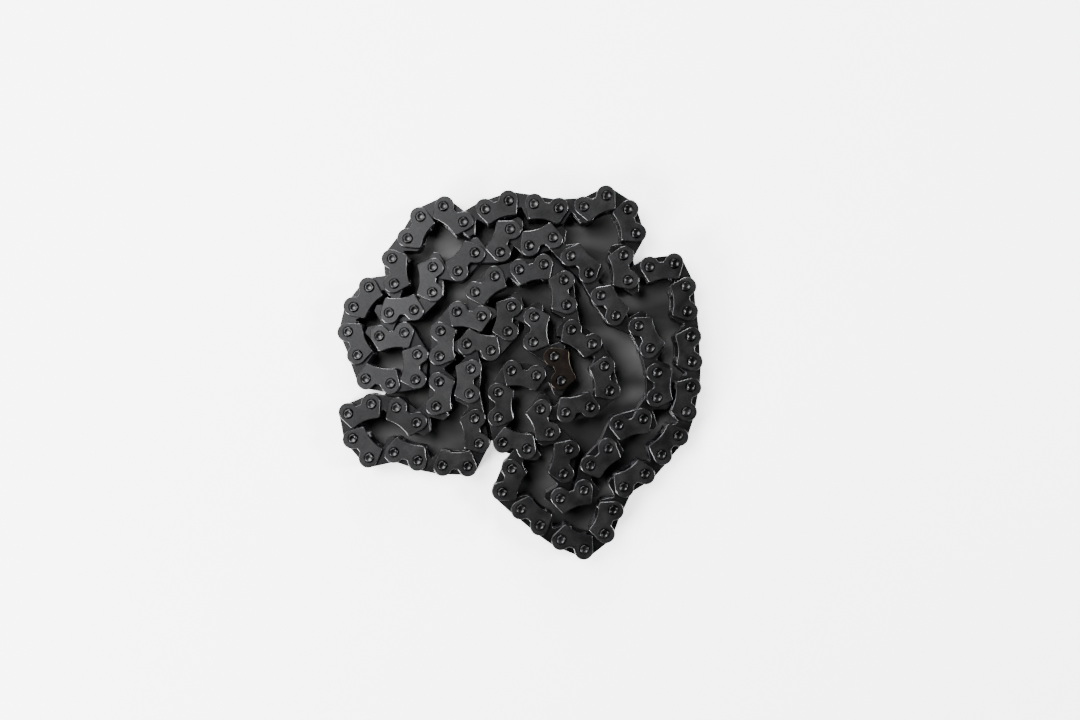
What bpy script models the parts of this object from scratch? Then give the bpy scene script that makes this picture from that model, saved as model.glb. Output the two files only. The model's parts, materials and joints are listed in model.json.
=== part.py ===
"""Silent (inverted-tooth) drive chain: an endless loop lying on its side in a loose heap.

Every guide link has two pins riveted into two notched guide plates. Toothed rows sit between
the guide plates of neighbouring guide links and turn on their pins, so all joint axes are
vertical. Units in this file are millimetres until the last step, which makes metres.
"""

import math

import bmesh
import bpy
from mathutils import Matrix, Vector

MM = 0.001

# Driving dimensions, millimetres
PITCH = 6.35
PLATE_THICKNESS = 1.0
PLATE_GAP = 0.05
PLATE_COUNT = 7
PIN_RADIUS = 1.2
PIN_STAND_OUT = 0.35
PIN_CHAMFER = 0.15
PIN_SIDES = 6
BENCH_SIDES = 12
HOLE_CLEARANCE = 0.04
LOOSE_HOLE_CLEARANCE = 0.2
EMBED = 0.05
CUT_MARGIN = 1.0

HALF_PITCH = PITCH / 2
# A moving link's frame has its origin on its first pin instead of at its middle
FROM_FIRST_PIN = Matrix.Translation((HALF_PITCH, 0, 0))
LAYER = PLATE_THICKNESS + PLATE_GAP
TOTAL_HEIGHT = 2 * PIN_STAND_OUT + PLATE_COUNT * PLATE_THICKNESS + (PLATE_COUNT - 1) * PLATE_GAP
TOP_PLATE = PLATE_COUNT - 1
ROW_LAYERS = (1, 3, 5)
LINK_PLATE_LAYERS = (2, 4)

# Guide plate, in its own frame: pins level at +-HALF_PITCH, the notched back at +y
GUIDE_LOBE_CENTRE = (3.14, 0.38)
GUIDE_LOBE_RADIUS = 2.35
GUIDE_LOBE_ARC = (122, -24)
GUIDE_LOBE_STEPS = 3
GUIDE_NOTCH_CORNER = (0.6, 0.98)
GUIDE_FRONT_CORNERS = ((4.15, -3.3), (3.5, -3.93))
GUIDE_FRONT_MIDDLE = (0.0, -3.34)

# Tooth plate, same frame: straight back, two teeth with 30 degree flanks at -y
TOOTH_LOBE_CENTRE = (3.14, 0.2)
TOOTH_LOBE_RADIUS = 2.3
TOOTH_LOBE_ARC = (90, -20)
TOOTH_LOBE_STEPS = 2
TOOTH_TIP_CORNERS = ((4.1, -3.3), (3.4, -3.85), (2.4, -3.85))
TOOTH_CROTCH = (0.45, -1.2)

# How the loop lies: each guide link's middle (x, y) and heading in degrees, going clockwise
ROUTE = [
    (-26.4, 36.3, 60), (-16.5, 39.7, -40), (-5.6, 42.1, 21), (7.0, 41.7, -10),
    (19.3, 43.0, 28), (28.5, 37.9, -72), (26.9, 26.2, -79), (36.0, 26.8, 8),
    (42.2, 18.4, -86), (43.4, 5.8, -87), (42.7, -6.9, -100), (38.1, -18.4, -132),
    (29.0, -27.3, -151), (22.6, -37.8, -110), (13.6, -43.5, 157), (2.9, -36.5, 140),
    (-3.0, -27.3, 67), (-1.0, -18.5, 166), (-5.2, -8.3, 90), (1.4, -0.3, -12),
    (9.8, 0.8, 103), (3.6, 10.8, 87), (-2.3, 13.3, -99), (-10.1, 6.3, 163),
    (-12.3, -2.3, -94), (-10.5, -14.9, -79), (-16.0, -23.7, 177), (-28.6, -21.2, 161),
    (-39.7, -19.2, 131), (-40.1, -9.2, 22), (-28.2, -10.9, -37), (-20.4, -5.6, 83),
    (-19.9, 7.1, 89), (-12.4, 14.7, -12), (-8.5, 22.1, 39), (3.2, 26.4, 12),
    (11.7, 19.8, -84), (15.8, 9.0, -38), (22.2, -1.6, -77), (14.8, -9.5, -168),
    (6.6, -12.3, -69), (11.9, -22.5, -103), (13.4, -30.8, 19), (20.3, -21.4, 44),
    (28.2, -12.6, 15), (34.8, -3.4, 90), (31.6, 8.8, 117), (22.5, 16.7, 126),
    (15.3, 27.1, 137), (5.6, 32.8, -163), (-3.4, 33.0, -114), (-13.3, 27.7, -133),
    (-21.6, 23.3, -90), (-29.7, 15.0, -172), (-31.9, 9.7, 6), (-25.7, 1.2, -94),
    (-35.4, -2.4, 171), (-41.9, 7.1, 115), (-39.7, 19.0, 52), (-31.5, 25.4, 97),
]
LINK_COUNT = 2 * len(ROUTE)
SETTLE_STEPS = 400
SETTLE_RATE = 0.25

# Links are numbered from 1: odd ones are guide links, even ones are toothed rows.
# Each place that flexes is a row, a guide link and a row; the number is its first row's.
FLEX_STARTS = (6, 14, 24, 32, 52, 60, 76, 82, 92, 104, 112, 120)
BENCH_START = 14  # here every plate and pin is a piece of its own
# A long still stretch is split so that each solid bends round no wide space
EXTRA_SPLITS = (40, 46, 70)

PLATE_COLOUR = (0.11, 0.11, 0.114, 1.0)
ROW_COLOUR = (0.085, 0.085, 0.089, 1.0)
PIN_COLOUR = (0.13, 0.13, 0.133, 1.0)
SHARP_ANGLE = 40


def steel(name, colour, roughness):
    material = bpy.data.materials.new(name)
    material.use_nodes = True
    shader = material.node_tree.nodes["Principled BSDF"]
    shader.inputs["Base Color"].default_value = colour
    shader.inputs["Metallic"].default_value = 0.9
    shader.inputs["Roughness"].default_value = roughness
    return material


def arc(centre, radius, angles, steps):
    """Points round a circle from the first angle to the second, in degrees."""
    first, last = (math.radians(a) for a in angles)
    turns = [first + (last - first) * i / steps for i in range(steps + 1)]
    return [(centre[0] + radius * math.cos(t), centre[1] + radius * math.sin(t)) for t in turns]


def mirrored(half, middle=()):
    """A closed outline from its right half, listed from back to front."""
    return half + list(middle) + [(-x, y) for x, y in reversed(half)]


def guide_outline():
    lobe = arc(GUIDE_LOBE_CENTRE, GUIDE_LOBE_RADIUS, GUIDE_LOBE_ARC, GUIDE_LOBE_STEPS)
    half = [GUIDE_NOTCH_CORNER] + lobe + list(GUIDE_FRONT_CORNERS)
    return mirrored(half, [GUIDE_FRONT_MIDDLE])


def tooth_outline():
    lobe = arc(TOOTH_LOBE_CENTRE, TOOTH_LOBE_RADIUS, TOOTH_LOBE_ARC, TOOTH_LOBE_STEPS)
    return mirrored(lobe + list(TOOTH_TIP_CORNERS) + [TOOTH_CROTCH])


def circle(radius, sides):
    turns = [2 * math.pi * (i + 0.5) / sides for i in range(sides)]
    return [(radius * math.cos(t), -radius * math.sin(t)) for t in turns]


def hole_radius(clearance, sides):
    """Corner radius of a hole whose flats clear the pin's corners at every turn."""
    return (PIN_RADIUS + clearance) / math.cos(math.pi / sides)


def add_prism(bm, outline, low, high, matrix):
    """A closed prism on an outline that runs clockwise seen from above."""
    bottom = [bm.verts.new(matrix @ Vector((x, y, low))) for x, y in outline]
    top = [bm.verts.new(matrix @ Vector((x, y, high))) for x, y in outline]
    bm.faces.new(bottom)
    bm.faces.new(list(reversed(top)))
    for i in range(len(outline)):
        j = (i + 1) % len(outline)
        bm.faces.new([bottom[i], top[i], top[j], bottom[j]])


def add_pin(bm, matrix):
    """A full-length pin."""
    add_prism(bm, circle(PIN_RADIUS, PIN_SIDES), 0.0, TOTAL_HEIGHT, matrix)


def add_bench_pin(bm, matrix):
    """A full-length pin with a chamfer at each end."""
    rings = [
        (PIN_RADIUS - PIN_CHAMFER, 0.0),
        (PIN_RADIUS, PIN_CHAMFER),
        (PIN_RADIUS, TOTAL_HEIGHT - PIN_CHAMFER),
        (PIN_RADIUS - PIN_CHAMFER, TOTAL_HEIGHT),
    ]
    loops = []
    for radius, height in rings:
        points = circle(radius, BENCH_SIDES)
        loops.append([bm.verts.new(matrix @ Vector((x, y, height))) for x, y in points])
    bm.faces.new(loops[0])
    bm.faces.new(list(reversed(loops[-1])))
    for low, high in zip(loops, loops[1:]):
        for i in range(BENCH_SIDES):
            j = (i + 1) % BENCH_SIDES
            bm.faces.new([low[i], high[i], high[j], low[j]])


def layer_range(layer):
    low = PIN_STAND_OUT + layer * LAYER
    return low, low + PLATE_THICKNESS


def pin_end(side):
    """Where a link's pin or hole is in its own frame: side -1 is the first, +1 the second."""
    return Matrix.Translation((side * HALF_PITCH, 0, 0))


def add_guide_plates(bm, matrix):
    for layer in (0, TOP_PLATE):
        add_prism(bm, guide_outline(), *layer_range(layer), matrix)


def add_row_block(bm, matrix, embed):
    """A toothed row with its plates and the spaces between them as one block."""
    low = layer_range(1)[0] - embed
    high = layer_range(TOP_PLATE - 1)[1] + embed
    add_prism(bm, tooth_outline(), low, high, matrix)


def add_stub(bm, matrix):
    """The upper end of a pin inside a joined stretch, which stands on its end pins."""
    low = TOTAL_HEIGHT - PIN_STAND_OUT - EMBED
    add_prism(bm, circle(PIN_RADIUS, PIN_SIDES), low, TOTAL_HEIGHT, matrix)


def new_object(name, bm, material):
    mesh = bpy.data.meshes.new(name)
    bmesh.ops.scale(bm, vec=(MM, MM, MM), verts=bm.verts)
    bm.to_mesh(mesh)
    bm.free()
    mesh.materials.append(material)
    obj = bpy.data.objects.new(name, mesh)
    bpy.context.scene.collection.objects.link(obj)
    return obj


def combine(base, tool, operation):
    """Joins the tool to the base, or cuts it out, and keeps the result as the base's mesh."""
    modifier = base.modifiers.new("combine", "BOOLEAN")
    modifier.operation = operation
    modifier.solver = "EXACT"
    modifier.object = tool
    graph = bpy.context.evaluated_depsgraph_get()
    mesh = bpy.data.meshes.new_from_object(base.evaluated_get(graph))
    base.modifiers.clear()
    base.data = mesh
    mesh.name = base.name
    bpy.data.objects.remove(tool)
    return base


def shade(obj):
    obj.data.shade_smooth()
    obj.data.set_sharp_from_angle(angle=math.radians(SHARP_ANGLE))


def settle(points):
    """Moves neighbouring pins to one pitch apart, all round the loop."""
    points = [p.copy() for p in points]
    for _ in range(SETTLE_STEPS):
        moves = []
        for a, b in zip(points, points[1:] + points[:1]):
            span = b - a
            moves.append(span * (SETTLE_RATE * (span.length - PITCH) / span.length))
        points = [p + moves[i] - moves[i - 1] for i, p in enumerate(points)]
    return points


def pin_places():
    """Every pin's place; link n runs from pin n to pin n + 1."""
    ends = []
    for x, y, heading in ROUTE:
        half = Vector((math.cos(math.radians(heading)), math.sin(math.radians(heading)))) * HALF_PITCH
        ends += [Vector((x, y)) - half, Vector((x, y)) + half]
    return centred(settle(ends))


def link_frame(pins, number):
    """A link's own frame, with its middle between its pins and its back at +y."""
    a, b = pins[(number - 1) % LINK_COUNT], pins[number % LINK_COUNT]
    middle = (a + b) / 2
    heading = math.atan2(b.y - a.y, b.x - a.x)
    return Matrix.Translation((middle.x, middle.y, 0)) @ Matrix.Rotation(heading, 4, "Z")


def centred(pins):
    """Moves the loop so that the middle of its guide plates' box is at the origin."""
    corners = []
    for number in range(1, LINK_COUNT, 2):
        frame = link_frame(pins, number)
        corners += [frame @ Vector((x, y, 0)) for x, y in guide_outline()]
    xs, ys = [c.x for c in corners], [c.y for c in corners]
    middle = Vector(((min(xs) + max(xs)) / 2, (min(ys) + max(ys)) / 2))
    return [p - middle for p in pins]


def place(obj, pins, number):
    """Puts a link modelled in its own frame at its place, with its origin on its first pin."""
    a, b = pins[(number - 1) % LINK_COUNT], pins[number % LINK_COUNT]
    obj.location = (a.x * MM, a.y * MM, 0)
    obj.rotation_euler = (0, 0, math.atan2(b.y - a.y, b.x - a.x))


def holes_tool(closing, sides):
    """Cutters for a link's two pin holes. A closing row's second hole is the opened pivot."""
    bm = bmesh.new()
    second_clearance = LOOSE_HOLE_CLEARANCE if closing else HOLE_CLEARANCE
    for side, clearance in ((-1, HOLE_CLEARANCE), (1, second_clearance)):
        outline = circle(hole_radius(clearance, sides), sides)
        add_prism(bm, outline, -CUT_MARGIN, TOTAL_HEIGHT + CUT_MARGIN, FROM_FIRST_PIN @ pin_end(side))
    return new_object("holes", bm, None)


def moving_plate(name, outline, heights, closing, sides, material):
    """A plate, or a block of plates, with its two pin holes."""
    bm = bmesh.new()
    add_prism(bm, outline, *heights, FROM_FIRST_PIN)
    return combine(new_object(name, bm, material), holes_tool(closing, sides), "DIFFERENCE")


def moving_row(pins, number, closing, material):
    heights = layer_range(1)[0], layer_range(TOP_PLATE - 1)[1]
    name = f"inner_row_{number:03d}"
    place(moving_plate(name, tooth_outline(), heights, closing, PIN_SIDES, material), pins, number)


def moving_guide(pins, number, material):
    bm = bmesh.new()
    add_guide_plates(bm, FROM_FIRST_PIN)
    base = new_object(f"guide_link_{number:03d}", bm, material)
    bm = bmesh.new()
    for side in (-1, 1):
        add_pin(bm, FROM_FIRST_PIN @ pin_end(side))
    place(combine(base, new_object("pins", bm, material), "UNION"), pins, number)


def bench_row(pins, number, closing, material):
    for count, layer in enumerate(ROW_LAYERS, 1):
        name = f"inner_row_{number:03d}_plate_{count}"
        heights = layer_range(layer)
        plate = moving_plate(name, tooth_outline(), heights, closing, BENCH_SIDES, material)
        place(plate, pins, number)


def bench_guide(pins, number, plate_material, row_material, pin_material):
    name = f"guide_link_{number:03d}"
    plates = [
        ("bottom_plate", 0, guide_outline(), plate_material),
        ("link_plate_1", LINK_PLATE_LAYERS[0], tooth_outline(), row_material),
        ("link_plate_2", LINK_PLATE_LAYERS[1], tooth_outline(), row_material),
        ("top_plate", TOP_PLATE, guide_outline(), plate_material),
    ]
    for part, layer, outline, material in plates:
        heights = layer_range(layer)
        plate = moving_plate(f"{name}_{part}", outline, heights, False, BENCH_SIDES, material)
        place(plate, pins, number)
    for count, side in enumerate((-1, 1), 1):
        bm = bmesh.new()
        add_bench_pin(bm, FROM_FIRST_PIN @ pin_end(side))
        place(new_object(f"{name}_pin_{count}", bm, pin_material), pins, number)


def still_section(pins, first, last, material, row_material):
    """A stretch that lies still, from link first to link last, as one solid."""
    origin = pins[(first - 1) % LINK_COUNT]
    to_origin = Matrix.Translation((-origin.x, -origin.y, 0))
    plates, inside = bmesh.new(), bmesh.new()
    loose_start = first % 2 == 0
    for number in range(first, last + 1):
        frame = to_origin @ link_frame(pins, number)
        if number % 2 == 0:
            if number != first:
                add_row_block(inside, frame, EMBED)
            continue
        add_guide_plates(plates, frame)
        for side, full in ((-1, number == first), (1, number == last)):
            if full:
                add_pin(inside, frame @ pin_end(side))
            elif not (loose_start and number == first + 1 and side == -1):
                add_stub(inside, frame @ pin_end(side))
    name = "chain_section_{:03d}_to_{:03d}".format(*((n - 1) % LINK_COUNT + 1 for n in (first, last)))
    base = new_object(name, plates, material)
    combine(base, new_object("inside", inside, row_material), "UNION")
    if loose_start:
        join_first_row(base, to_origin @ link_frame(pins, first), row_material)
    base.location = (origin.x * MM, origin.y * MM, 0)


def join_first_row(base, frame, material):
    """A section's own first row turns on the pin of the section before it."""
    row, hole, pin = bmesh.new(), bmesh.new(), bmesh.new()
    add_row_block(row, frame, 0.0)
    outline = circle(hole_radius(HOLE_CLEARANCE, PIN_SIDES), PIN_SIDES)
    add_prism(hole, outline, 0.0, TOTAL_HEIGHT, frame @ pin_end(-1))
    add_pin(pin, frame @ pin_end(1))
    block = combine(new_object("row", row, material), new_object("hole", hole, None), "DIFFERENCE")
    block = combine(block, new_object("pin", pin, material), "UNION")
    combine(base, block, "UNION")


def still_stretches():
    """First and last link of each still section between the places that flex."""
    stretches = []
    starts = sorted(FLEX_STARTS)
    for start, following in zip(starts, starts[1:] + [starts[0] + LINK_COUNT]):
        first, end = start + 3, following - 1
        cuts = [s for s in EXTRA_SPLITS if first < s <= end]
        for low, high in zip([first] + cuts, [c - 1 for c in cuts] + [end]):
            stretches.append((low, high))
    return stretches


def build():
    for obj in list(bpy.data.objects):
        bpy.data.objects.remove(obj)
    plate_material = steel("guide_plate_steel", PLATE_COLOUR, 0.42)
    row_material = steel("tooth_plate_steel", ROW_COLOUR, 0.45)
    pin_material = steel("pin_steel", PIN_COLOUR, 0.3)
    pins = pin_places()
    for start in FLEX_STARTS:
        if start == BENCH_START:
            bench_row(pins, start, False, row_material)
            bench_guide(pins, start + 1, plate_material, row_material, pin_material)
            bench_row(pins, start + 2, True, row_material)
        else:
            moving_row(pins, start, False, row_material)
            moving_guide(pins, start % LINK_COUNT + 1, plate_material)
            moving_row(pins, (start + 1) % LINK_COUNT + 1, True, row_material)
    for first, last in still_stretches():
        still_section(pins, first, last, plate_material, row_material)
    for obj in bpy.data.objects:
        shade(obj)


build()
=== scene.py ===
"""Looks of a silent drive chain that lies on its side in a loose heap.

Every plate and pin of every link is made here as its own closed mesh: two notched guide plates,
two toothed link plates and two riveted pins to a guide link, and three toothed plates to a row.
They are joined into objects by the body that they ride on. Shapes are in millimetres until they
are placed, and the scene is in metres.
"""

import json
import math
import random

import bmesh
import bpy
from mathutils import Matrix, Vector

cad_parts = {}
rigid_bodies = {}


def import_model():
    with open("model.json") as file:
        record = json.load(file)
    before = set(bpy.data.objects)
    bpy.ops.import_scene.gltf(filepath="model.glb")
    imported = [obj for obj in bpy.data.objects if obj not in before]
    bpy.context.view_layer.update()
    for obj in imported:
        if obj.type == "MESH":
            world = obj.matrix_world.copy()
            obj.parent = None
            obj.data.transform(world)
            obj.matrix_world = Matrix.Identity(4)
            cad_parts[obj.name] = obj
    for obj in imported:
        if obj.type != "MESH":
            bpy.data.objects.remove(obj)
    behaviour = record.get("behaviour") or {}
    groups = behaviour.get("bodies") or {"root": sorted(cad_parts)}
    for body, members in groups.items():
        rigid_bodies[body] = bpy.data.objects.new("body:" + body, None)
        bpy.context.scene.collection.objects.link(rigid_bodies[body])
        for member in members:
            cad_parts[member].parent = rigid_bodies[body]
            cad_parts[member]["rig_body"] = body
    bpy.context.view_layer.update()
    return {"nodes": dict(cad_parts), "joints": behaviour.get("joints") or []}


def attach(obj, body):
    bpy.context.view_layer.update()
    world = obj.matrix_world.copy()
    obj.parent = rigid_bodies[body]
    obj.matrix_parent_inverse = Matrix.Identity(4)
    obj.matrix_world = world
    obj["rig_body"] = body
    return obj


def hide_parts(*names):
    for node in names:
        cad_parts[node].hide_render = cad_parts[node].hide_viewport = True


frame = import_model()

MM = 0.001

# Driving dimensions, as in the CAD model
PITCH = 6.35
PLATE_THICKNESS = 1.0
PLATE_GAP = 0.05
PLATE_COUNT = 7
PIN_RADIUS = 1.2
PIN_STAND_OUT = 0.35
ROW_LAYERS = (1, 3, 5)
LINK_PLATE_LAYERS = (2, 4)
GUIDE_LAYERS = (0, PLATE_COUNT - 1)
LAYER = PLATE_THICKNESS + PLATE_GAP
TOTAL_HEIGHT = 2 * PIN_STAND_OUT + PLATE_COUNT * PLATE_THICKNESS + (PLATE_COUNT - 1) * PLATE_GAP
HALF_PITCH = PITCH / 2

# Plate outlines in their own frame: pins level at +-HALF_PITCH, the back at +y
GUIDE_LOBE = (3.14, 0.38, 2.35)
GUIDE_NOTCH_CORNER = (0.62, 0.9)
GUIDE_FRONT_CORNER = (3.76, -3.98)
GUIDE_FRONT_MIDDLE = (0.0, -3.34)
GUIDE_FRONT_RISE = 0.14
TOOTH_LOBE = (3.14, 0.2, 2.3)
TOOTH_TIPS = ((3.85, -3.85), (2.25, -3.85))
TOOTH_CROTCH = (0.0, -0.75)
NOTCH_FILLET = 0.55
CORNER_FILLET = 0.7
TIP_FILLET = 0.3
CROTCH_FILLET = 0.5
FRONT_HOLLOW_AT = (0.2, 0.4, 0.6, 0.8)
ARC_STEP = 9.0
SMALLEST_STEP = 1e-4
MIDDLE_TOLERANCE = 1e-6
MITRE_LIMIT = 0.6

# Edges and holes
GUIDE_EDGE_RADIUS = 0.16
TOOTH_EDGE_RADIUS = 0.09
EDGE_STEPS = 3
PRESS_HOLE_RADIUS = 1.22
HOLE_RELIEF_RADIUS = 1.29
PRESS_HOLE_RELIEF_DEPTH = 0.3
RUNNING_HOLE_RADIUS = 1.25
LOOSE_HOLE_RADIUS = 1.38
PLAIN_HOLE_RELIEF_DEPTH = 0.2
RELIEF_WALL = 0.7
HOLE_RIM = 0.05
ROUND_SIDES = 32

# A pin's riveted end as (radius, depth below the end), and how much its flank is darkened as painted shade
PIN_END = [
    (0.0, 0.15), (0.48, 0.13), (0.66, 0.07), (0.8, 0.01), (0.9, 0.0), (1.0, 0.03),
    (1.1, 0.12), (1.16, 0.26), (PIN_RADIUS, 0.45),
]
PIN_RIM_RADIUS = 1.05
PIN_FLANK_PAINTED_SHADE = 0.9

# How the loop lies: each guide link's middle (x, y) and heading in degrees, going clockwise
ROUTE = [
    (-26.4, 36.3, 60), (-16.5, 39.7, -40), (-5.6, 42.1, 21), (7.0, 41.7, -10),
    (19.3, 43.0, 28), (28.5, 37.9, -72), (26.9, 26.2, -79), (36.0, 26.8, 8),
    (42.2, 18.4, -86), (43.4, 5.8, -87), (42.7, -6.9, -100), (38.1, -18.4, -132),
    (29.0, -27.3, -151), (22.6, -37.8, -110), (13.6, -43.5, 157), (2.9, -36.5, 140),
    (-3.0, -27.3, 67), (-1.0, -18.5, 166), (-5.2, -8.3, 90), (1.4, -0.3, -12),
    (9.8, 0.8, 103), (3.6, 10.8, 87), (-2.3, 13.3, -99), (-10.1, 6.3, 163),
    (-12.3, -2.3, -94), (-10.5, -14.9, -79), (-16.0, -23.7, 177), (-28.6, -21.2, 161),
    (-39.7, -19.2, 131), (-40.1, -9.2, 22), (-28.2, -10.9, -37), (-20.4, -5.6, 83),
    (-19.9, 7.1, 89), (-12.4, 14.7, -12), (-8.5, 22.1, 39), (3.2, 26.4, 12),
    (11.7, 19.8, -84), (15.8, 9.0, -38), (22.2, -1.6, -77), (14.8, -9.5, -168),
    (6.6, -12.3, -69), (11.9, -22.5, -103), (13.4, -30.8, 19), (20.3, -21.4, 44),
    (28.2, -12.6, 15), (34.8, -3.4, 90), (31.6, 8.8, 117), (22.5, 16.7, 126),
    (15.3, 27.1, 137), (5.6, 32.8, -163), (-3.4, 33.0, -114), (-13.3, 27.7, -133),
    (-21.6, 23.3, -90), (-29.7, 15.0, -172), (-31.9, 9.7, 6), (-25.7, 1.2, -94),
    (-35.4, -2.4, 171), (-41.9, 7.1, 115), (-39.7, 19.0, 52), (-31.5, 25.4, 97),
]
LINK_COUNT = 2 * len(ROUTE)
SETTLE_STEPS = 400
SETTLE_RATE = 0.25
BROWN_LINK = 41


# ---------------------------------------------------------------- places of the links

def settle(points):
    """Moves neighbouring pins to one pitch apart, all round the loop."""
    for _ in range(SETTLE_STEPS):
        moves = []
        for a, b in zip(points, points[1:] + points[:1]):
            span = b - a
            moves.append(span * (SETTLE_RATE * (span.length - PITCH) / span.length))
        points = [p + moves[i] - moves[i - 1] for i, p in enumerate(points)]
    return points


def pin_places():
    """Every pin's place; link n runs from pin n to pin n + 1, and a joint says where its pin is."""
    ends = []
    for x, y, heading in ROUTE:
        half = Vector((math.cos(math.radians(heading)), math.sin(math.radians(heading)))) * HALF_PITCH
        ends += [Vector((x, y)) - half, Vector((x, y)) + half]
    pins = settle(ends)
    joint = frame["joints"][0]
    number = int(joint["name"][-3:])
    shift = Vector(joint["pos_m"][:2]) / MM - pins[number - 1]
    return [p + shift for p in pins]


def link_frame(number):
    """A link's own frame in metres, with its middle between its pins and its back at +y."""
    a, b = PINS[(number - 1) % LINK_COUNT], PINS[number % LINK_COUNT]
    middle = (a + b) / 2
    heading = math.atan2(b.y - a.y, b.x - a.x)
    place = Matrix.Translation((middle.x, middle.y, 0)) @ Matrix.Rotation(heading, 4, "Z")
    return Matrix.Scale(MM, 4) @ place


PINS = pin_places()


# ---------------------------------------------------------------- outlines

def arc(centre, radius, first, last):
    """Points round a circle from the first angle to the second, in degrees."""
    steps = max(1, round(abs(last - first) / ARC_STEP))
    turns = [math.radians(first + (last - first) * i / steps) for i in range(steps + 1)]
    return [Vector((centre[0] + radius * math.cos(t), centre[1] + radius * math.sin(t))) for t in turns]


def fillet(before, corner, after, radius):
    """A corner's round, from a point before it to a point after it."""
    a, b, c = Vector(before), Vector(corner), Vector(after)
    back, ahead = (a - b).normalized(), (c - b).normalized()
    half = back.angle(ahead) / 2
    middle = b + (back + ahead).normalized() * (radius / math.sin(half))
    reach = radius / math.tan(half)
    start, end = b + back * reach - middle, b + ahead * reach - middle
    first = math.degrees(math.atan2(start.y, start.x))
    turn = math.degrees(math.atan2(end.y, end.x)) - first
    turn = (turn + 180) % 360 - 180
    return arc(middle, radius, first, first + turn)


def mirrored(half):
    """A closed clockwise outline from its right half, from back to front, without repeated points."""
    points = half + [Vector((-p.x, p.y)) for p in reversed(half)]
    return [p for i, p in enumerate(points) if (p - points[i - 1]).length > SMALLEST_STEP]


def touch_angle(point, lobe, side):
    """Where a line from the point touches the lobe, as an angle round it; side is +1 or -1."""
    away = Vector(point) - Vector(lobe[:2])
    return math.degrees(math.atan2(away.y, away.x) + side * math.acos(lobe[2] / away.length)) % 360


def right_half(points):
    """The points on the right of the middle, with any on the middle itself."""
    return [p for p in points if p.x > -MIDDLE_TOLERANCE]


def guide_outline():
    """A guide plate: two lobes with a notch between them at the back, and a slightly hollow front."""
    back, corner, middle = (Vector(p) for p in (GUIDE_NOTCH_CORNER, GUIDE_FRONT_CORNER, GUIDE_FRONT_MIDDLE))
    first = touch_angle(back, GUIDE_LOBE, -1)
    last = touch_angle(corner, GUIDE_LOBE, 1) - 360
    lobe = arc(GUIDE_LOBE[:2], GUIDE_LOBE[2], first, last)
    notch = fillet((0, back.y), back, lobe[0], NOTCH_FILLET)
    front = fillet(lobe[-1], corner, middle, CORNER_FILLET)
    hollow = []
    for t in FRONT_HOLLOW_AT:
        rise = GUIDE_FRONT_RISE * 4 * t * (1 - t)
        hollow.append(front[-1].lerp(middle, t) + Vector((0, rise)))
    return mirrored(notch + lobe + front + hollow + [middle])


def tooth_outline():
    """A toothed plate: two lobes at the back, and two teeth with a valley between them in front."""
    outer, inner, crotch = (Vector(p) for p in TOOTH_TIPS + (TOOTH_CROTCH,))
    lobe = arc(TOOTH_LOBE[:2], TOOTH_LOBE[2], 90, touch_angle(outer, TOOTH_LOBE, 1) - 360)
    tip = fillet(lobe[-1], outer, inner, TIP_FILLET) + fillet(outer, inner, crotch, TIP_FILLET)
    valley = fillet(inner, crotch, (-inner.x, inner.y), CROTCH_FILLET)
    return mirrored(lobe + tip + right_half(valley))


def circle(centre, radius):
    """A hole's outline, counterclockwise seen from above."""
    turns = [2 * math.pi * i / ROUND_SIDES for i in range(ROUND_SIDES)]
    return [Vector((centre + radius * math.cos(t), radius * math.sin(t))) for t in turns]


# ---------------------------------------------------------------- plates and pins

def inset(outline, distance):
    """An outline moved towards the material, which is on its right-hand side."""
    moved = []
    for i, p in enumerate(outline):
        before = (p - outline[i - 1]).normalized()
        after = (outline[(i + 1) % len(outline)] - p).normalized()
        normals = [Vector((d.y, -d.x)) for d in (before, after)]
        direction = (normals[0] + normals[1]).normalized()
        moved.append(p + direction * (distance / max(MITRE_LIMIT, direction.dot(normals[0]))))
    return moved


def edge_profile(radius):
    """(inset, height) of an outer edge's rounds, from the lower face to the upper face."""
    turns = [math.radians(90 * i / EDGE_STEPS) for i in range(EDGE_STEPS + 1)]
    upper = [(radius * (1 - math.cos(t)), PLATE_THICKNESS - radius * (1 - math.sin(t))) for t in turns]
    return [(i, PLATE_THICKNESS - h) for i, h in reversed(upper)] + upper


def hole_profile(radius, relief_radius, relief_depth):
    """(radius, height) down a hole that is wider at both faces."""
    upper = [
        (radius, PLATE_THICKNESS - relief_depth),
        (relief_radius, PLATE_THICKNESS - RELIEF_WALL * relief_depth),
        (relief_radius, PLATE_THICKNESS - HOLE_RIM),
        (relief_radius + HOLE_RIM, PLATE_THICKNESS),
    ]
    return [(r, PLATE_THICKNESS - h) for r, h in reversed(upper)] + upper


def wall(bm, rings, worn_and_highlight_rings=()):
    """Quads between rings of points; the first and last rings stay sharp and are returned."""
    wear_and_highlight = bm.verts.layers.float.get("wear_and_highlight") or bm.verts.layers.float.new("wear_and_highlight")
    loops = [[bm.verts.new((p.x, p.y, height)) for p in points] for points, height in rings]
    # The listed rings get the mark that brightens their colour: partly rubbed wear, partly a painted
    # highlight.
    for ring in worn_and_highlight_rings:
        for vertex in loops[ring]:
            vertex[wear_and_highlight] = 1.0
    for low, high in zip(loops, loops[1:]):
        for i in range(len(low)):
            j = (i + 1) % len(low)
            bm.faces.new((low[i], low[j], high[j], high[i])).smooth = True
    rims = []
    for loop in (loops[0], loops[-1]):
        edges = [bm.edges.get((loop[i - 1], loop[i])) for i in range(len(loop))]
        for edge in edges:
            edge.smooth = False
        rims.append(edges)
    return rims


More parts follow.
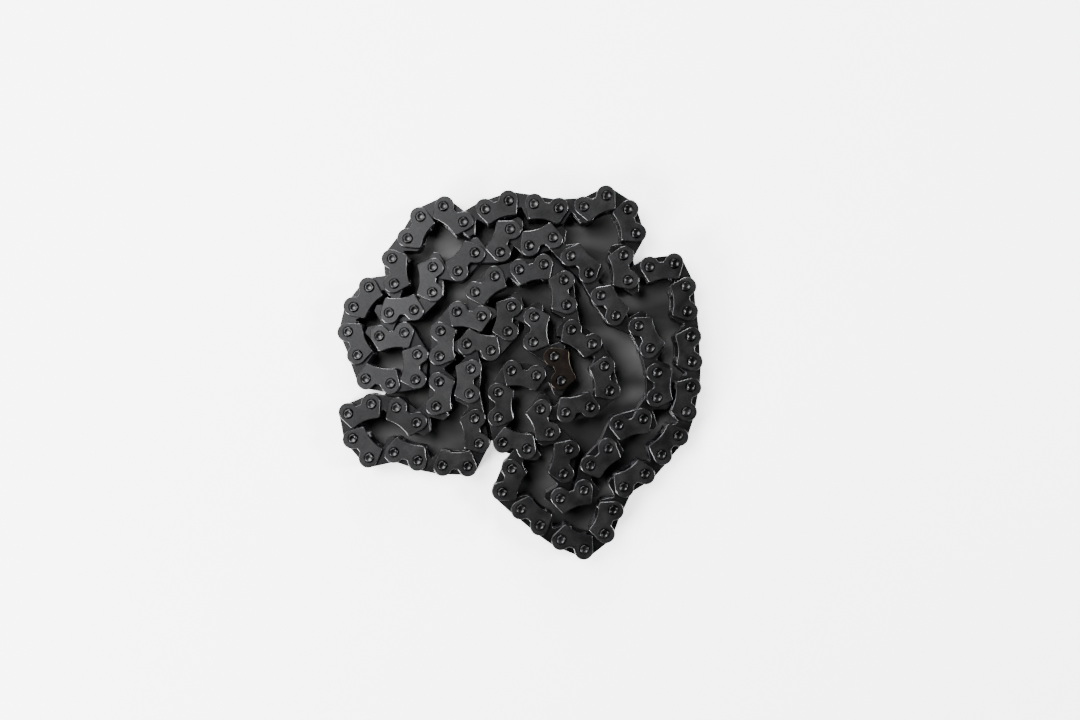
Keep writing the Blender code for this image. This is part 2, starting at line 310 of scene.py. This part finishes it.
def plate_mesh(name, outline, edge_radius, holes):
    """A plate with rounded edges and two pin holes, its lower face at height 0."""
    bm = bmesh.new()
    # The inner rings of the rounded edges are marked brighter: partly rubbed wear, partly a painted
    # highlight.
    worn_and_highlight_rings = [i for i in range(2 * EDGE_STEPS + 2) if i % (EDGE_STEPS + 1) not in (0, EDGE_STEPS)]
    outer = wall(bm, [(inset(outline, i), h) for i, h in edge_profile(edge_radius)], worn_and_highlight_rings)
    rims = [list(outer[0]), list(outer[1])]
    for side, profile in zip((-1, 1), holes):
        inner = wall(bm, [(circle(side * HALF_PITCH, r), h) for r, h in profile])
        rims[0] += inner[0]
        rims[1] += inner[1]
    for edges in rims:
        bmesh.ops.triangle_fill(bm, use_beauty=True, edges=edges)
    bmesh.ops.recalc_face_normals(bm, faces=bm.faces)
    tone = bm.verts.layers.float.new("tone")
    for vertex in bm.verts:
        vertex[tone] = 1.0
    return finished_mesh(name, bm)


def pin_mesh(name):
    """A pin with riveted ends: a dished middle, a narrow rim and a rounded chamfer whose flank is darkened
    as painted shade.
    """
    profile = PIN_END + [(radius, TOTAL_HEIGHT - depth) for radius, depth in reversed(PIN_END)]
    bm = bmesh.new()
    tone = bm.verts.layers.float.new("tone")
    loops = []
    for radius, height in profile[1:-1]:
        loops.append([bm.verts.new((p.x, p.y, height)) for p in circle(0, radius)])
        for vertex in loops[-1]:
            # Flank rings past the rim are darkened as painted shade of the ring round the pin.
            vertex[tone] = PIN_FLANK_PAINTED_SHADE if radius > PIN_RIM_RADIUS else 1.0
    for low, high in zip(loops, loops[1:]):
        for i in range(ROUND_SIDES):
            j = (i + 1) % ROUND_SIDES
            bm.faces.new((low[i], low[j], high[j], high[i])).smooth = True
    for (_, height), loop in ((profile[0], loops[0]), (profile[-1], loops[-1])):
        centre = bm.verts.new((0, 0, height))
        centre[tone] = 1.0
        for i in range(ROUND_SIDES):
            bm.faces.new((centre, loop[i - 1], loop[i])).smooth = True
    bmesh.ops.recalc_face_normals(bm, faces=bm.faces)
    return finished_mesh(name, bm)


def finished_mesh(name, bm):
    """Turns a bmesh into a mesh and frees it."""
    mesh = bpy.data.meshes.new(name)
    bm.to_mesh(mesh)
    bm.free()
    return mesh


PRESS_HOLE = hole_profile(PRESS_HOLE_RADIUS, HOLE_RELIEF_RADIUS, PRESS_HOLE_RELIEF_DEPTH)
RUNNING_HOLE = hole_profile(RUNNING_HOLE_RADIUS, RUNNING_HOLE_RADIUS, PLAIN_HOLE_RELIEF_DEPTH)
LOOSE_HOLE = hole_profile(LOOSE_HOLE_RADIUS, LOOSE_HOLE_RADIUS, PLAIN_HOLE_RELIEF_DEPTH)
GUIDE_PLATE = plate_mesh("guide_plate", guide_outline(), GUIDE_EDGE_RADIUS, (PRESS_HOLE, PRESS_HOLE))
TOOTH_PLATE = plate_mesh("tooth_plate", tooth_outline(), TOOTH_EDGE_RADIUS, (RUNNING_HOLE, RUNNING_HOLE))
CLOSING_PLATE = plate_mesh("closing_plate", tooth_outline(), TOOTH_EDGE_RADIUS, (RUNNING_HOLE, LOOSE_HOLE))
PIN = pin_mesh("pin")


# ---------------------------------------------------------------- materials

# Rounded edges: colour brightened, partly as rubbed wear and partly as a painted highlight, and made
# smoother where rubbed.
WEAR_AND_PAINTED_HIGHLIGHT_BRIGHTER = 4.5
WORN_SMOOTHER = 0.6
FINE_GRAIN_SCALE = 2600
BROAD_STAIN_SCALE = 330
STAIN_SHADES = (0.86, 1.14)
ROUGHNESS_SPREAD = 0.06
BUMP_STRENGTH = 0.25
BUMP_HEIGHT = 0.00002
NOISE_LOW, NOISE_HIGH = 0.3, 0.7


def steel(name, colour, roughness, grain):
    """Tumbled steel: fine mottled grain, soft stains, a tone of its own for each piece, and brighter,
    smoother rounded edges, partly rubbed wear and partly a painted highlight.
    """
    material = bpy.data.materials.new(name)
    material.use_nodes = True
    nodes, links = material.node_tree.nodes, material.node_tree.links
    shader = nodes["Principled BSDF"]
    shader.inputs["Metallic"].default_value = 1.0
    place = nodes.new("ShaderNodeTexCoord").outputs["Object"]

    def noise(scale, detail):
        node = nodes.new("ShaderNodeTexNoise")
        node.inputs["Scale"].default_value = scale
        node.inputs["Detail"].default_value = detail
        links.new(place, node.inputs["Vector"])
        return node.outputs["Fac"]

    def spread(value, low, high):
        node = nodes.new("ShaderNodeMapRange")
        node.inputs["From Min"].default_value = NOISE_LOW
        node.inputs["From Max"].default_value = NOISE_HIGH
        node.inputs["To Min"].default_value = low
        node.inputs["To Max"].default_value = high
        links.new(value, node.inputs["Value"])
        return node.outputs["Result"]

    def times(a, b):
        node = nodes.new("ShaderNodeMath")
        node.operation = "MULTIPLY"
        links.new(a, node.inputs[0])
        links.new(b, node.inputs[1])
        return node.outputs["Value"]

    fine, broad = noise(FINE_GRAIN_SCALE, 4), noise(BROAD_STAIN_SCALE, 3)
    tone, wear_and_highlight = (nodes.new("ShaderNodeAttribute") for _ in range(2))
    tone.attribute_name, wear_and_highlight.attribute_name = "tone", "wear_and_highlight"
    shade = times(spread(fine, 1 - grain, 1 + grain), spread(broad, *STAIN_SHADES))
    shade = times(shade, tone.outputs["Fac"])
    # The marked edges are painted brighter: partly rubbed wear, partly a painted highlight.
    shade = times(shade, spread(wear_and_highlight.outputs["Fac"], 1.0, WEAR_AND_PAINTED_HIGHLIGHT_BRIGHTER))
    tint = nodes.new("ShaderNodeVectorMath")
    tint.operation = "SCALE"
    tint.inputs[0].default_value = colour
    links.new(shade, tint.inputs["Scale"])
    links.new(tint.outputs["Vector"], shader.inputs["Base Color"])
    rough = spread(broad, roughness - ROUGHNESS_SPREAD, roughness + ROUGHNESS_SPREAD)
    rough = times(rough, spread(wear_and_highlight.outputs["Fac"], 1.0, WORN_SMOOTHER))
    links.new(rough, shader.inputs["Roughness"])
    bump = nodes.new("ShaderNodeBump")
    bump.inputs["Strength"].default_value = BUMP_STRENGTH
    bump.inputs["Distance"].default_value = BUMP_HEIGHT
    links.new(fine, bump.inputs["Height"])
    links.new(bump.outputs["Normal"], shader.inputs["Normal"])
    return material


GUIDE_STEEL = steel("guide_plate_steel", (0.0133, 0.0133, 0.0137), 0.42, 0.24)
# The toothed plates lie between the guide plates; their colour, darker than the guide plates', is painted
# shade.
TOOTH_STEEL_PAINTED_SHADE = steel("tooth_plate_steel", (0.0108, 0.0108, 0.0112), 0.38, 0.15)
PIN_STEEL = steel("pin_steel", (0.0175, 0.0175, 0.018), 0.27, 0.1)
BROWN_STEEL = steel("browned_steel", (0.0068, 0.0055, 0.0046), 0.42, 0.25)
FINISHES = {
    "guide_plate": (GUIDE_STEEL, BROWN_STEEL),
    "tooth_plate": (TOOTH_STEEL_PAINTED_SHADE,),
    "pin": (PIN_STEEL,),
}
TONE_RANGE = {"guide_plate": (0.8, 1.22), "tooth_plate": (0.75, 1.1), "pin": (0.85, 1.2)}
TONES = random.Random(7)


# ---------------------------------------------------------------- pieces

def placed(shape, number, height, side=0):
    """A shape at its place on a link, at a height and, for a pin, at one of the link's ends."""
    return shape, link_frame(number) @ Matrix.Translation((side * HALF_PITCH, 0, height)), number


def plate_height(layer):
    """The height of a plate's lower face."""
    return PIN_STAND_OUT + layer * LAYER


def guide_plates(number, layers=GUIDE_LAYERS):
    return [placed(GUIDE_PLATE, number, plate_height(layer)) for layer in layers]


def tooth_plates(number, layers, shape=TOOTH_PLATE):
    return [placed(shape, number, plate_height(layer)) for layer in layers]


def pins(number, sides=(-1, 1)):
    return [placed(PIN, number, 0, side) for side in sides]


def add_piece(name, copies, slot, body, *nodes):
    """Joins the copies into one object of closed meshes, each with a tone of its own."""
    bm = bmesh.new()
    tone_layer = bm.verts.layers.float.new("tone")
    bm.verts.layers.float.new("wear_and_highlight")
    for shape, place, number in copies:
        first_vertex, first_face = len(bm.verts), len(bm.faces)
        mesh = shape.copy()
        mesh.transform(place)
        bm.from_mesh(mesh)
        bpy.data.meshes.remove(mesh)
        bm.verts.ensure_lookup_table()
        bm.faces.ensure_lookup_table()
        tone = TONES.uniform(*TONE_RANGE[slot])
        for vertex in bm.verts[first_vertex:]:
            vertex[tone_layer] *= tone
        if slot == "guide_plate" and number == BROWN_LINK:
            for face in bm.faces[first_face:]:
                face.material_index = 1
    piece = bpy.data.objects.new(name, finished_mesh(name, bm))
    bpy.context.scene.collection.objects.link(piece)
    used = 2 if slot == "guide_plate" and BROWN_LINK in [number for _, _, number in copies] else 1
    for material in FINISHES[slot][:used]:
        piece.data.materials.append(material)
    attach(piece, body)
    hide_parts(*nodes)
    return piece


def link_number(node):
    """The link in a moving node's name: guide_link_NNN or inner_row_NNN, then perhaps a part."""
    return int(node.split("_")[2])


def body_of(node):
    return frame["nodes"][node]["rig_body"]


def add_section(node):
    """A stretch that lies still, from its first link to its last."""
    first, last = (int(part) for part in node.removeprefix("chain_section_").split("_to_"))
    guides = [n for n in range(first, last + 1) if n % 2]
    rows = [n for n in range(first, last + 1) if n % 2 == 0]
    plates = [copy for n in guides for copy in guide_plates(n)]
    teeth = [copy for n in guides for copy in tooth_plates(n, LINK_PLATE_LAYERS)]
    teeth += [copy for n in rows for copy in tooth_plates(n, ROW_LAYERS)]
    shafts = [copy for n in guides for copy in pins(n)]
    body = body_of(node)
    label = node.removeprefix("chain_")
    add_piece(f"{label}_guide_plates", plates, "guide_plate", body, node)
    add_piece(f"{label}_tooth_plates", teeth, "tooth_plate", body, node)
    add_piece(f"{label}_pins", shafts, "pin", body, node)


def add_guide_link(node):
    """A guide link that moves as one CAD node."""
    number, body = link_number(node), body_of(node)
    add_piece(f"link_{number:03d}_guide_plates", guide_plates(number), "guide_plate", body, node)
    teeth = tooth_plates(number, LINK_PLATE_LAYERS)
    add_piece(f"link_{number:03d}_link_plates", teeth, "tooth_plate", body, node)
    add_piece(f"link_{number:03d}_pins", pins(number), "pin", body, node)


def closes(number):
    """Whether a row's second hole is a flexing place's opened pivot."""
    moving = {joint["child"] for joint in frame["joints"]}
    return f"row_{number:03d}" in moving and f"guide_{(number - 2) % LINK_COUNT + 1:03d}" in moving


def add_row(node):
    """A row that moves as one CAD node."""
    number = link_number(node)
    shape = CLOSING_PLATE if closes(number) else TOOTH_PLATE
    copies = tooth_plates(number, ROW_LAYERS, shape)
    add_piece(f"row_{number:03d}_plates", copies, "tooth_plate", body_of(node), node)


def add_row_plate(node):
    """One plate of a row whose plates are nodes of their own."""
    number, count = link_number(node), int(node[-1])
    shape = CLOSING_PLATE if closes(number) else TOOTH_PLATE
    copies = tooth_plates(number, ROW_LAYERS[count - 1:count], shape)
    add_piece(f"row_{number:03d}_plate_{count}", copies, "tooth_plate", body_of(node), node)


def add_link_part(node):
    """One plate or pin of the guide link whose parts are nodes of their own."""
    number = link_number(node)
    made = {
        "bottom_plate": (guide_plates(number, GUIDE_LAYERS[:1]), "guide_plate"),
        "top_plate": (guide_plates(number, GUIDE_LAYERS[1:]), "guide_plate"),
        "link_plate_1": (tooth_plates(number, LINK_PLATE_LAYERS[:1]), "tooth_plate"),
        "link_plate_2": (tooth_plates(number, LINK_PLATE_LAYERS[1:]), "tooth_plate"),
        "pin_1": (pins(number, (-1,)), "pin"),
        "pin_2": (pins(number, (1,)), "pin"),
    }
    part = node.removeprefix(f"guide_link_{number:03d}_")
    copies, slot = made[part]
    add_piece(f"link_{number:03d}_{part}", copies, slot, body_of(node), node)


def add_chain():
    """Every node's pieces, in the order of the nodes' names, which fixes each piece's tone."""
    for node in sorted(frame["nodes"]):
        if node.startswith("chain_section"):
            add_section(node)
        elif node.startswith("inner_row") and "plate" in node:
            add_row_plate(node)
        elif node.startswith("inner_row"):
            add_row(node)
        elif "plate" in node or "pin" in node:
            add_link_part(node)
        else:
            add_guide_link(node)


# ---------------------------------------------------------------- floor, light and camera

CHAIN_TOP = Vector((0, 0, TOTAL_HEIGHT * MM))
FLOOR_HALF_WIDTH = 20.0
FLOOR_GLOW = 1.2
# A dark sheet inside the heap's outline stands for the floor in shade in the gaps: painted shade, with
# paler streaks of painted light.
GAP_SHADE_HEIGHT = 0.00004
STREAK_HEADING = -35
STREAK_SCALE = (40, 110, 1)
STREAK_NOISE = (0.42, 0.72)
STREAK_SHADES = (0.003, 0.05)
# The runs of pins along the outside of the heap, as slices
OUTER_RUNS = ((0, 36), (51, 60), (112, 120))


def add_stage(name, bm, colour, roughness, glow):
    """A mesh that only sets the scene; returns its shader and its material's nodes and links."""
    stage = bpy.data.objects.new(name, finished_mesh(name, bm))
    bpy.context.scene.collection.objects.link(stage)
    material = bpy.data.materials.new(name)
    material.use_nodes = True
    shader = material.node_tree.nodes["Principled BSDF"]
    shader.inputs["Base Color"].default_value = (colour, colour, colour, 1)
    shader.inputs["Roughness"].default_value = roughness
    shader.inputs["Emission Color"].default_value = (1, 1, 1, 1)
    shader.inputs["Emission Strength"].default_value = glow
    stage.data.materials.append(material)
    return shader, material.node_tree.nodes, material.node_tree.links


def add_floor():
    """A pale floor that glows, so that it stays white."""
    bm = bmesh.new()
    bmesh.ops.create_grid(bm, x_segments=1, y_segments=1, size=FLOOR_HALF_WIDTH)
    add_stage("floor", bm, 0.9, 0.6, FLOOR_GLOW)


def add_gap_shade():
    """A dark, dull sheet in the gaps of the heap as painted shade, with paler streaks as painted light."""
    bm = bmesh.new()
    outline = [p * MM for first, last in OUTER_RUNS for p in PINS[first:last]]
    corners = [bm.verts.new((p.x, p.y, GAP_SHADE_HEIGHT)) for p in outline]
    bm.faces.new(corners)
    bmesh.ops.triangulate(bm, faces=bm.faces)
    shader, nodes, links = add_stage("painted_shade_in_the_gaps", bm, 0.03, 0.6, 0.0)
    shader.inputs["Specular IOR Level"].default_value = 0.2
    place = nodes.new("ShaderNodeTexCoord").outputs["Object"]
    turned = nodes.new("ShaderNodeMapping")
    turned.inputs["Rotation"].default_value = (0, 0, math.radians(STREAK_HEADING))
    turned.inputs["Scale"].default_value = STREAK_SCALE
    streaks = nodes.new("ShaderNodeTexNoise")
    streaks.inputs["Scale"].default_value = 1.0
    streaks.inputs["Detail"].default_value = 1.0
    shade = nodes.new("ShaderNodeMapRange")
    for end, noise_value, shade_value in zip(("Min", "Max"), STREAK_NOISE, STREAK_SHADES):
        shade.inputs[f"From {end}"].default_value = noise_value
        shade.inputs[f"To {end}"].default_value = shade_value
    links.new(place, turned.inputs["Vector"])
    links.new(turned.outputs["Vector"], streaks.inputs["Vector"])
    links.new(streaks.outputs["Fac"], shade.inputs["Value"])
    links.new(shade.outputs["Result"], shader.inputs["Base Color"])


def add_light(name, azimuth, elevation, distance, size, watts):
    """A square lamp that looks at the chain; azimuth 0 is to the right and 90 is the far side."""
    across, up = math.radians(azimuth), math.radians(elevation)
    direction = Vector((math.cos(across) * math.cos(up), math.sin(across) * math.cos(up), math.sin(up)))
    data = bpy.data.lights.new(name, "AREA")
    data.shape = "SQUARE"
    data.size = size
    data.energy = watts
    lamp = bpy.data.objects.new(name, data)
    lamp.location = CHAIN_TOP + direction * distance
    lamp.rotation_euler = direction.to_track_quat("Z", "Y").to_euler()
    bpy.context.scene.collection.objects.link(lamp)


def add_world():
    world = bpy.data.worlds.new("studio")
    world.use_nodes = True
    background = world.node_tree.nodes["Background"]
    background.inputs["Color"].default_value = (1.0, 1.0, 1.0, 1)
    background.inputs["Strength"].default_value = 0.13
    bpy.context.scene.world = world


def add_camera():
    """Straight above, a little off the chain's middle, and shifted to the framing."""
    height, sensor, view_width = 0.235, 36.0, 0.2713
    stand, aim = Vector((1.5, 0.6)) * MM, Vector((5.05, 3.15)) * MM
    data = bpy.data.cameras.new("camera")
    data.sensor_width = sensor
    data.lens = sensor * height / view_width
    data.shift_x = (aim.x - stand.x) / view_width
    data.shift_y = (aim.y - stand.y) / view_width
    data.clip_start = 0.01
    camera = bpy.data.objects.new("camera", data)
    camera.location = (stand.x, stand.y, TOTAL_HEIGHT * MM + height)
    bpy.context.scene.collection.objects.link(camera)
    bpy.context.scene.camera = camera


add_chain()
add_floor()
add_gap_shade()
add_world()
add_light("softbox", 146, 60, 0.42, 0.22, 5.0)
add_light("key", 218, 30, 0.7, 0.25, 18.0)
add_light("right", 5, 38, 0.7, 0.16, 10.0)
add_light("far_edge", 95, 22, 0.7, 0.2, 10.0)
add_camera()
